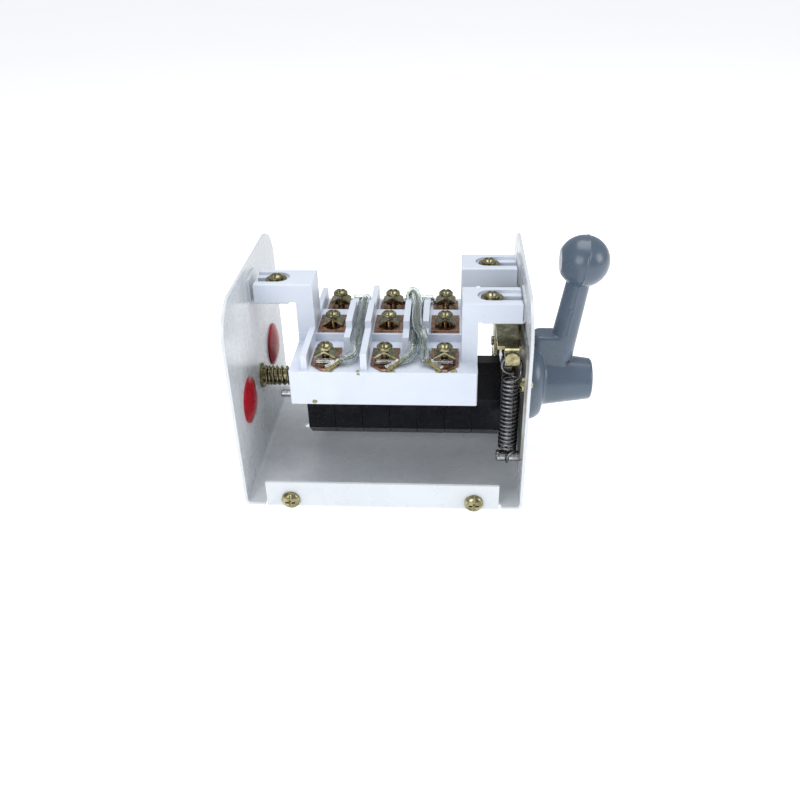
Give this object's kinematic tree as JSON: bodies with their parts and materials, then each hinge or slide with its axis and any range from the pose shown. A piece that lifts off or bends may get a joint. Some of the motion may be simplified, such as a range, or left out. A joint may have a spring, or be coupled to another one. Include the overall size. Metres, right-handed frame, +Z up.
{
  "type": "manual transfer switch",
  "caption": "Open manual transfer switch: folded sheet chassis, bridging terminal block, turning contact drum, sprung detent and a side lever handle with ball knob.",
  "frame": {"origin": "middle of the chassis floor's underside, below the shaft", "axes": "+X along the shaft towards the handle, +Y to the rear, +Z up from the floor"},
  "size_m": [0.1897, 0.1314, 0.126],
  "materials": {
    "black_moulding": "glossy black moulding",
    "blue_grey_plastic": "slate blue-grey, satin",
    "brass": "turned brass",
    "bright_zinc": "bright zinc plate",
    "clear_sleeve": "clear greenish insulation",
    "copper": "bare brown copper",
    "galvanised_steel": "streaked galvanised",
    "painted_sheet": "gloss light warm grey enamel",
    "red_plastic": "glossy red",
    "spring_steel": "oiled spring steel",
    "tinned_wire": "tinned copper strands",
    "white_moulding": "bluish white moulding compound, satin",
    "yellow_zinc": "yellow passivated zinc on steel"
  },
  "bodies": {
    "root": {"chassis": "painted_sheet", "ear_brackets": "painted_sheet", "cable_plugs": "red_plastic", "terminal_block": "white_moulding", "ear_screws": "yellow_zinc", "ear_washers": "yellow_zinc", "lip_screws": "yellow_zinc", "front_contacts": "copper", "middle_contacts": "copper", "rear_contacts": "copper", "saddle_clamps": "yellow_zinc", "terminal_screws": "yellow_zinc", "jumper_sleeve_1": "clear_sleeve", "jumper_sleeve_2": "clear_sleeve", "jumper_sleeve_3": "clear_sleeve", "jumper_ends": "tinned_wire", "mechanism_plate": "galvanised_steel", "plate_screws": "yellow_zinc", "anchor_pins": "bright_zinc", "guide_studs": "bright_zinc", "detent_spring_front": "spring_steel", "detent_spring_rear": "spring_steel", "bush_left": "brass", "bush_right": "brass"},
    "rotor": {"shaft": "yellow_zinc", "drum_segment_1": "black_moulding", "drum_segment_2": "black_moulding", "drum_segment_3": "black_moulding", "drum_segment_4": "black_moulding", "drum_segment_5": "black_moulding", "drum_segment_6": "black_moulding", "drum_segment_7": "black_moulding", "contact_blades": "copper", "tie_rods": "bright_zinc", "tie_nuts": "bright_zinc", "thrust_spring": "yellow_zinc", "retaining_ring": "spring_steel", "detent_cam": "bright_zinc", "handle": "blue_grey_plastic", "handle_set_screw": "spring_steel"},
    "yoke": {"detent_yoke": "yellow_zinc", "yoke_roller": "bright_zinc", "roller_pin": "bright_zinc"}
  },
  "joints": [
    {"name": "handle_turn", "type": "hinge", "parent": "root", "child": "rotor", "pos_m": [0, 0, 0.0445], "axis": [1, 0, 0], "range_deg": [-45, 45]},
    {"name": "yoke_lift", "type": "slide", "parent": "root", "child": "yoke", "axis": [0, 0, 1], "range_m": [0, 0.0024], "stiffness_N_per_m": 1500, "springref_m": -0.012, "deforming": ["detent_spring_front", "detent_spring_rear"]}
  ]
}
